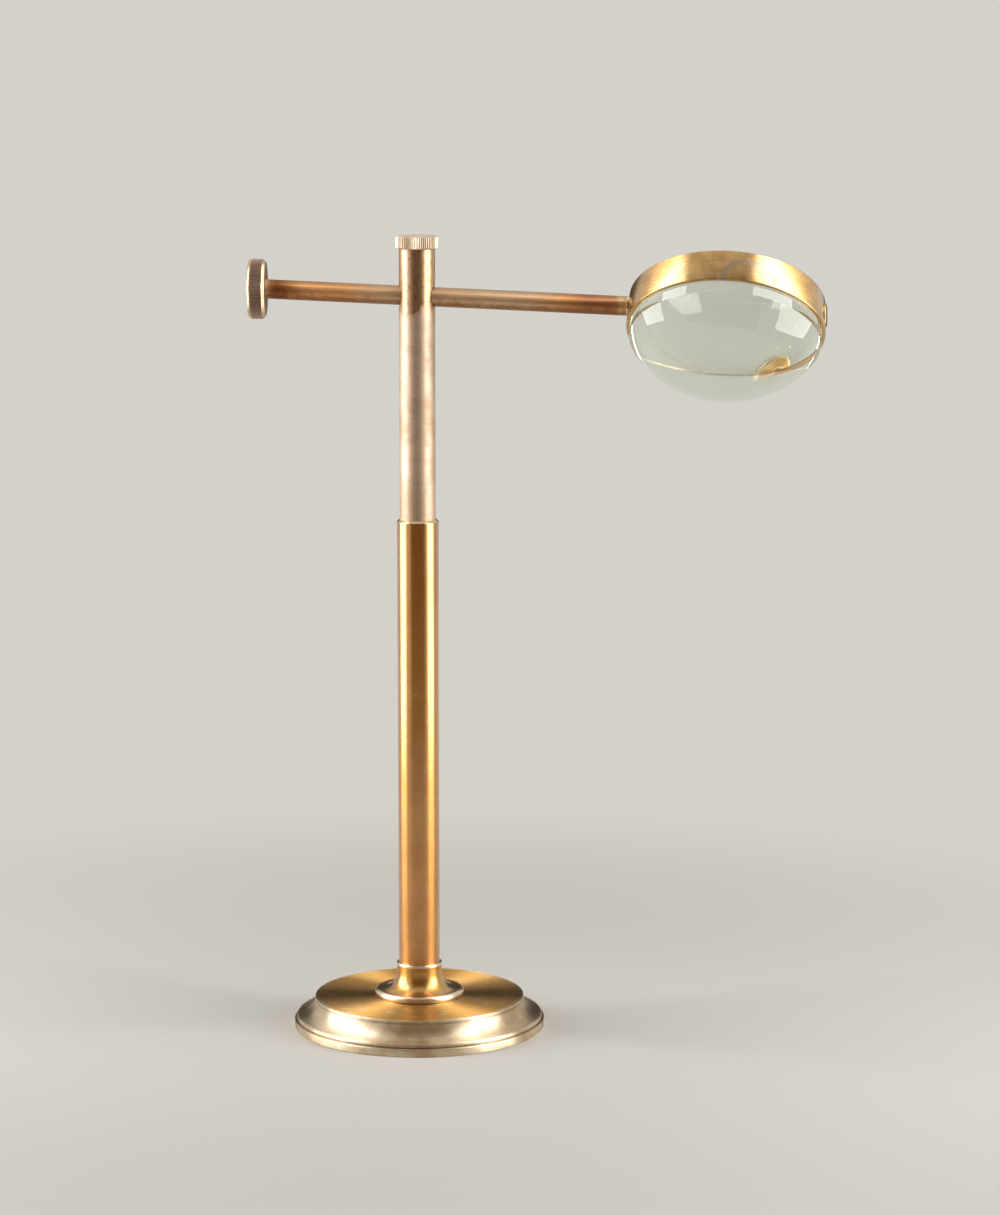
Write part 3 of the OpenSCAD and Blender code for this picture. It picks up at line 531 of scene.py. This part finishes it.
# It leans on its pin, and is let that far over the shoulder of the rod that no gap shows
spot_depth = ROD_R * math.sin(math.radians(math.hypot(KNOB_LEAN, KNOB_SKEW))) + 0.05
hang = (on_arm @ Matrix.Translation((KNOB_FACE * MM, 0, 0))
        @ Matrix.Rotation(math.radians(-90), 4, "Y") @ Matrix.Translation((0, 0, -spot_depth * MM))
        @ Matrix.Rotation(math.radians(-KNOB_LEAN), 4, "Y")
        @ Matrix.Rotation(math.radians(KNOB_SKEW), 4, "X"))
band_top = KNOB_BEVEL + KNOB_BAND
shoulder = [(band_top + KNOB_ROUND * math.sin(a), KNOB_R - KNOB_ROUND + KNOB_ROUND * math.cos(a))
            for a in (math.radians(15 * k) for k in range(7))]
knob = knurled("end_knob_knurled",
               [(0, 0.02), (0, KNOB_R - KNOB_BEVEL - 0.08), (0.03, KNOB_R - KNOB_BEVEL),
                (KNOB_BEVEL, KNOB_R), (KNOB_BEVEL + 0.05, KNOB_R),
                (KNOB_BEVEL + 0.051, KNOB_R + 0.05), (band_top - 0.051, KNOB_R + 0.05),
                (band_top - 0.05, KNOB_R)] + shoulder
               + domed(KNOB_R - KNOB_ROUND, band_top + KNOB_ROUND, KNOB_DOME),
               KNOB_TEETH, KNOB_R, KNOB_R - KNOB_TOOTH, hang)
# Its band is dulled grey-brown by grime in the fine knurl, with bright flecks where the teeth are
# rubbed; the bevel and the rounded edge are bare
knob_brass, tree, metal, mm = brass(
    "knurled_knob_brass", "#E2CBA8", "#C8AC86", "#3B2A1C", patch=4, mark=0.6, gloss=0.3, spots=0.25,
    depth=0.15, wrapped=False)
axis = hang.to_3x3() @ Vector((0, 0, 1))
along = add(tree, "VectorMath", {0: mm, 1: axis}, operation="DOT_PRODUCT")
level = add(tree, "Math", {0: along.outputs["Value"], 1: axis.dot(hang.translation) / MM},
            operation="SUBTRACT")
grimy = band(tree, level.outputs["Value"], KNOB_BEVEL + KNOB_BAND / 2, KNOB_BAND / 2 - 0.12,
             KNOB_BAND / 2 + 0.04, 0.9)
stain_and_painted_light(tree, metal, grimy, "#9C8272", 0.42)
bright = add(tree, "TexNoise", {"Vector": mm, "Scale": 2.4, "Detail": 2.0})
fleck = add(tree, "MapRange", {"Value": bright.outputs["Fac"], "From Min": 0.5, "From Max": 0.68,
                               "To Max": 0.7})
flecks = add(tree, "Math", {0: fleck.outputs["Result"], 1: grimy}, operation="MULTIPLY")
stain_and_painted_light(tree, metal, flecks.outputs["Value"], "#DCC8BA", 0.42)
dress(knob, knob_brass, "arm", ["end_knob"])

# ---------------------------------------------------------------------------------------------
# Collar: a thin bright brass washer between the end of the rod and the cell.
# ---------------------------------------------------------------------------------------------
COLLAR_BORE, COLLAR_END = 1.57, 55.87
collar = turned("arm_collar_bright", [
    (COLLAR_BORE, ROD_END, 0), (ROD_R, ROD_END, 0.1), (ROD_R, COLLAR_END, 0.1),
    (COLLAR_BORE, COLLAR_END, 0)], lathe_on_arm, 96)
# Bright turned brass, the palest on the object, with a sharper shine
bright_brass, *_ = brass("bright_turned_brass", "#E6D4A6", "#C7AA70", "#4A361C", patch=3, mark=0.2,
                         gloss=0.22, spread=0.6, spots=0.2)
dress(collar, bright_brass, "arm", ["arm_collar"])

# ---------------------------------------------------------------------------------------------
# Lens cell: a brass ring turned from tube, with an inner lip at the front that holds the lens.
# The rod and a screw opposite it are its two points of support.
# ---------------------------------------------------------------------------------------------
REACH, TILT, CELL_BACK = 81.4, 35.0, 1.9
in_cell = (on_arm @ Matrix.Translation((REACH * MM, 0, 0))
           @ Matrix.Rotation(math.radians(-TILT), 4, "X")
           @ Matrix.Translation((0, 0, -CELL_BACK * MM)))
CELL_R, CELL_H, CELL_BORE, CELL_TAPER, LIP_R, LIP_TOP = 25.95, 8.7, 25.15, 0.3, 24.95, -3.35
cell = turned("lens_cell_turned", [
    (LIP_R, -CELL_H / 2, 0.08), (CELL_R, -CELL_H / 2, 0.18),
    (CELL_R - CELL_TAPER, CELL_H / 2, 0.18), (CELL_BORE, CELL_H / 2, 0.1),
    (CELL_BORE, LIP_TOP, 0), (LIP_R, LIP_TOP, 0)], in_cell, 256)
# Turned brass under a clear gold lacquer: bright and warm, with the lamps drawn out round the ring
cell_brass, tree, metal, mm = brass(
    "lacquered_cell_brass", "#D6AA62", "#C0924A", "#4A3213", patch=4, mark=0.35, gloss=0.27,
    spread=0.8, spots=0.45, lacquer=1.0)
# A dried smear of polish was left on it, an arch over the front of the lower rim
SMEAR_X, SMEAR_Z, SMEAR_R = 5, -4.6, 7.6
smear_y = -math.sqrt(CELL_R ** 2 - SMEAR_X ** 2)
smear_at = in_cell @ Vector((SMEAR_X * MM, smear_y * MM, SMEAR_Z * MM)) / MM
gone = add(tree, "VectorMath", {0: mm, 1: smear_at}, operation="DISTANCE")
curl = add(tree, "TexNoise", {"Vector": mm, "Scale": 0.7, "Detail": 5.0, "Roughness": 0.7})
bent = add(tree, "Math", {0: curl.outputs["Fac"], 1: 3.0, 2: gone.outputs["Value"]},
           operation="MULTIPLY_ADD")
stain_and_painted_light(tree, metal, band(tree, bent.outputs["Value"], SMEAR_R, 0.3, 1.0, 0.9), "#BFA684", 0.5)
dress(cell, cell_brass, "arm", ["lens_cell"])

# ---------------------------------------------------------------------------------------------
# Lens: thick plano-convex crown glass, ground and polished, with a plain ground edge. The flat
# side faces back and up, and the dome hangs out of the front of the cell.
# ---------------------------------------------------------------------------------------------
DOME_R, LENS_R, EDGE_R, FLAT_Z, EDGE_Z, LENS_BEVEL = 29.6, 25.13, 24.93, 2.35, -7.55, 0.3
shape = bmesh.new()
rise = DOME_R - math.sqrt(DOME_R ** 2 - EDGE_R ** 2)
tip = shape.verts.new((0, 0, (EDGE_Z - rise) * MM))
sweep = bmesh.ops.spin(shape, geom=[tip], cent=(0, 0, (EDGE_Z - rise + DOME_R) * MM),
                       axis=(0, 1, 0), dvec=(0, 0, 0), angle=-math.asin(EDGE_R / DOME_R), steps=64)
reached = sweep["geom_last"][0]
for r, z in ((EDGE_R, LIP_TOP), (LENS_R, LIP_TOP), (LENS_R, FLAT_Z - LENS_BEVEL),
             (LENS_R - LENS_BEVEL, FLAT_Z), (0, FLAT_Z)):
    after = shape.verts.new((r * MM, 0, z * MM))
    shape.edges.new((reached, after))
    reached = after
bmesh.ops.spin(shape, geom=shape.verts[:] + shape.edges[:], cent=(0, 0, 0), axis=(0, 0, 1),
               dvec=(0, 0, 0), angle=math.tau, steps=256, use_merge=True)
bmesh.ops.remove_doubles(shape, verts=shape.verts, dist=2e-6)
bmesh.ops.recalc_face_normals(shape, faces=shape.faces)
for face in shape.faces:
    upright = abs(face.normal.z) < 0.3
    face.material_index = int(upright and face.calc_center_median().z > LIP_TOP * MM)
bmesh.ops.transform(shape, matrix=in_cell, verts=shape.verts)
lens = piece_from("bullseye_lens_glass", shape, 20)


def glass(name, tint, through, roughness, dent, coarse):
    """Crown glass: how much light goes through, its roughness, and the depth and scale of its
    waviness. Pale dust sits on it, in specks drawn 0.3 mm wide: real ones are too fine to show."""
    material = bpy.data.materials.new(name)
    material.use_nodes = True
    tree = material.node_tree
    tree.nodes.clear()
    where = add(tree, "TexCoord").outputs["Object"]
    wave = add(tree, "TexNoise", {"Vector": where, "Scale": coarse, "Detail": 3.0})
    ripple = add(tree, "Bump", {"Height": wave.outputs["Fac"], "Strength": dent, "Distance": 2e-5})
    body = add(tree, "BsdfPrincipled", {
        "Base Color": linear(tint), "IOR": 1.52, "Transmission Weight": through,
        "Roughness": roughness, "Normal": ripple.outputs["Normal"]})
    dust = add(tree, "TexVoronoi", {"Vector": where, "Scale": 260.0})
    speck = add(tree, "MapRange", {"Value": dust.outputs["Distance"], "From Min": 0.035,
                                   "From Max": 0.05, "To Min": 0.9, "To Max": 0.0})
    grain = add(tree, "BsdfDiffuse", {"Color": linear("#F4F1EA")})
    skin = add(tree, "MixShader", {0: speck.outputs["Result"], 1: body.outputs[0],
                                   2: grain.outputs[0]})
    # A ray that mirrors to and fro inside is given up after a few turns and would end black, so
    # from its third turn on the glass glows with the pale of the room, which it would have come out
    # to: painted light, as the glass is no lamp
    turns = add(tree, "LightPath").outputs["Glossy Depth"]
    lost = add(tree, "Math", {0: turns, 1: 2.5}, operation="GREATER_THAN")
    pale = add(tree, "Emission", {"Color": linear("#C6C2AE")})
    whole = add(tree, "MixShader", {0: lost.outputs["Value"], 1: skin.outputs[0],
                                    2: pale.outputs[0]})
    add(tree, "OutputMaterial", {"Surface": whole.outputs[0]})
    return material


# Polished glass is clear, a little green through its thickness; its ground edge shows whitish
polished = glass("polished_crown_glass", "#EAF0E4", through=1.0, roughness=0.0, dent=0.02,
                 coarse=160)
dress(lens, polished, "arm", ["bullseye_lens"])
ground = glass("ground_crown_glass", "#E6EED8", through=0.2, roughness=0.5, dent=0.3, coarse=4000)
lens.data.materials.append(ground)

# ---------------------------------------------------------------------------------------------
# Retaining ring: a brass ring with four slots for a key, screwed down on the flat of the lens.
# ---------------------------------------------------------------------------------------------
RING_H, RING_W = 1.5, 1.6
ring_out = CELL_BORE - 0.02
ring = turned("retaining_ring_slotted", [
    (ring_out - RING_W, FLAT_Z, 0.08), (ring_out, FLAT_Z, 0.08), (ring_out, FLAT_Z + RING_H, 0.15),
    (ring_out - RING_W, FLAT_Z + RING_H, 0.15)], in_cell, 256)


def bar(name, length, width, height, place):
    """A straight cutter for slots, with square edges, about the middle of its length and width."""
    shape = bmesh.new()
    bmesh.ops.create_cube(shape, size=MM)
    bmesh.ops.scale(shape, vec=(length, width, height), verts=shape.verts)
    bmesh.ops.translate(shape, vec=(0, 0, height / 2 * MM), verts=shape.verts)
    bmesh.ops.transform(shape, matrix=place, verts=shape.verts)
    return piece_from(name, shape)


KEY_SLOT_W = 1.2
half_way = in_cell @ Matrix.Translation((0, 0, (FLAT_Z + RING_H / 2) * MM))
cut_away(ring, *[bar(f"key_{turn}", 60, KEY_SLOT_W, RING_H,
                     half_way @ Matrix.Rotation(math.radians(turn), 4, "Z"))
                 for turn in (45, 135)])
dress(ring, worn_brass, "arm", ["retaining_ring"])

# ---------------------------------------------------------------------------------------------
# Far screw: a thin slotted brass head let into the wall of the cell opposite the rod.
# ---------------------------------------------------------------------------------------------
SCREW_R, SCREW_HEAD, SCREW_SEAT, SCREW_TURN = 3.1, 0.5, 25.6, 7.0
SHANK_R, SHANK_L, DRIVER_SLOT_W = 1.2, 0.4, 0.9
at_screw = (in_cell @ Matrix.Rotation(math.radians(-SCREW_TURN), 4, "Z")
            @ Matrix.Translation((SCREW_SEAT * MM, 0, 0))
            @ Matrix.Rotation(math.radians(90), 4, "Y"))
screw = turned("cell_screw_slotted", [
    (0, -SHANK_L, 0), (SHANK_R, -SHANK_L, 0), (SHANK_R, 0, 0), (SCREW_R, 0, 0.1),
    (SCREW_R, SCREW_HEAD, 0.12), (0, SCREW_HEAD, 0)], at_screw, 96)
cut_away(screw, bar("driver_slot", 8, DRIVER_SLOT_W, 1,
                    at_screw @ Matrix.Translation((0, 0, SCREW_HEAD / 2 * MM))))
dress(screw, bright_brass, "arm", ["cell_screw"])

# ---------------------------------------------------------------------------------------------
# Studio: a plain pale floor that runs into a pale backdrop, two tall soft lamps at the sides, a
# weak one above, dim cards in front and behind that only the metal mirrors, and the camera.
# ---------------------------------------------------------------------------------------------
BACKDROP = linear("#D4D1CB")


def to_mirrors(tree):
    """Says where the camera, a mirror or a lens looks, which all see the backdrop at its colour."""
    ray = add(tree, "LightPath")
    seen = add(tree, "Math", {0: ray.outputs["Is Camera Ray"], 1: ray.outputs["Is Glossy Ray"]},
               operation="MAXIMUM")
    return add(tree, "Math", {0: seen.outputs["Value"], 1: ray.outputs["Is Transmission Ray"]},
               operation="MAXIMUM").outputs["Value"]


shape = bmesh.new()
bmesh.ops.create_grid(shape, x_segments=1, y_segments=1, size=30.0)
floor = piece_from("floor", shape)
paper = bpy.data.materials.new("pale_floor")
paper.use_nodes = True
tree = paper.node_tree
skin = tree.nodes["Principled BSDF"]
skin.inputs["Base Color"].default_value = linear("#C8C4BD")
skin.inputs["Roughness"].default_value = 0.8
skin.inputs["Specular IOR Level"].default_value = 0.1
# Round the object the floor takes the lamps and the shadow. Further out the camera, mirrors and
# glass see it in the colour of the backdrop, so that no line shows where the two meet.
far = add(tree, "VectorMath", {0: add(tree, "TexCoord").outputs["Object"]}, operation="LENGTH")
fade = add(tree, "MapRange", {"Value": far.outputs["Value"], "From Min": 0.05, "From Max": 0.3},
           interpolation_type="SMOOTHSTEP")
share = add(tree, "Math", {0: fade.outputs["Result"], 1: to_mirrors(tree)}, operation="MULTIPLY")
sweep = add(tree, "Emission", {"Color": BACKDROP})
floor_mix = add(tree, "MixShader", {0: share.outputs["Value"], 1: skin.outputs[0],
                                    2: sweep.outputs[0]})
tree.links.new(floor_mix.outputs[0], tree.nodes["Material Output"].inputs["Surface"])
floor.data.materials.append(paper)

# Where the photo was taken from, as fitted to the round edges of the base, the tubes and the cell
CAMERA_AT = Vector((0.098894, -0.916940, 0.2552))
CAMERA_DOWN, CAMERA_TURN, FOCAL_PX, PHOTO_PX = 8.7, 4.8, 3500, 1215
facing = math.atan2(CAMERA_AT.y, CAMERA_AT.x)


def lamp(name, turn, lift, distance, aim, width, height, radiance):
    """A soft lamp: turn is its bearing from the camera's and lift its angle above the horizon, both
    seen from a point on the pillar's axis at the height aim. Its radiance sets its power."""
    data = bpy.data.lights.new(name, "AREA")
    data.shape, data.size, data.size_y = "RECTANGLE", width, height
    data.energy = radiance * math.pi * width * height
    bulb = bpy.data.objects.new(name, data)
    bpy.context.scene.collection.objects.link(bulb)
    a, e = facing + math.radians(turn), math.radians(lift)
    way = Vector((math.cos(e) * math.cos(a), math.cos(e) * math.sin(a), math.sin(e)))
    bulb.location = Vector((0, 0, aim)) + way * distance
    bulb.rotation_euler = way.to_track_quat("Z", "Y").to_euler()
    bulb.visible_camera = False


lamp("left_lamp", turn=-91, lift=0, distance=0.34, aim=0.35, width=0.24, height=0.69, radiance=5.6)
lamp("right_lamp", turn=74, lift=0, distance=0.36, aim=0.35, width=0.24, height=0.69, radiance=5.6)
lamp("top_lamp", turn=180, lift=75, distance=1.2, aim=0.12, width=0.8, height=0.8, radiance=0.5)


def dim_card(name, distance, turn, wide, top, colour):
    """A dim card for the metal to mirror: a patch of a ball round the object that stands on the
    floor. turn is its bearing from the camera's, wide and top its angles across and upwards."""
    shape = bmesh.new()
    foot_of_card = shape.verts.new((distance, 0, 0.005))
    bmesh.ops.spin(shape, geom=[foot_of_card], cent=(0, 0, 0), axis=(0, 1, 0), dvec=(0, 0, 0),
                   angle=-math.radians(top), steps=16)
    bmesh.ops.spin(shape, geom=shape.verts[:] + shape.edges[:], cent=(0, 0, 0), axis=(0, 0, 1),
                   dvec=(0, 0, 0), angle=math.radians(wide), steps=24)
    bmesh.ops.rotate(shape, cent=(0, 0, 0), verts=shape.verts,
                     matrix=Matrix.Rotation(facing + math.radians(turn - wide / 2), 3, "Z"))
    card = piece_from(name, shape)
    card.visible_camera = card.visible_diffuse = False
    card.visible_transmission = card.visible_shadow = False
    dim = bpy.data.materials.new(name)
    dim.use_nodes = True
    dim.node_tree.nodes.clear()
    glow = add(dim.node_tree, "Emission", {"Color": linear(colour)})
    add(dim.node_tree, "OutputMaterial", {"Surface": glow.outputs[0]})
    card.data.materials.append(dim)


# These cards are painted reflections: dim glowing sheets that only mirrors see, and nothing else
dim_card("front_card", distance=1.25, turn=0, wide=80, top=62, colour="#6C543F")
dim_card("low_card", distance=0.32, turn=0, wide=80, top=28, colour="#6C543F")
dim_card("back_card", distance=1.25, turn=180, wide=56, top=24, colour="#403C37")

# A weak fill from all round, and the pale backdrop for the camera, mirrors and glass
world = bpy.data.worlds.new("studio")
bpy.context.scene.world = world
world.use_nodes = True
tree = world.node_tree
tree.nodes.clear()
fill = add(tree, "Background", {"Color": linear("#FFFFFF"), "Strength": 0.1})
backdrop = add(tree, "Background", {"Color": BACKDROP, "Strength": 1.0})
both = add(tree, "MixShader", {0: to_mirrors(tree), 1: fill.outputs[0], 2: backdrop.outputs[0]})
add(tree, "OutputWorld", {"Surface": both.outputs[0]})

camera = bpy.data.objects.new("camera", bpy.data.cameras.new("camera"))
camera.location = CAMERA_AT
camera.rotation_euler = (math.radians(90 - CAMERA_DOWN), 0, math.radians(CAMERA_TURN))
camera.data.sensor_width, camera.data.lens = 36, FOCAL_PX / PHOTO_PX * 36
bpy.context.scene.collection.objects.link(camera)
bpy.context.scene.camera = camera
bpy.context.scene.view_settings.view_transform = "Standard"
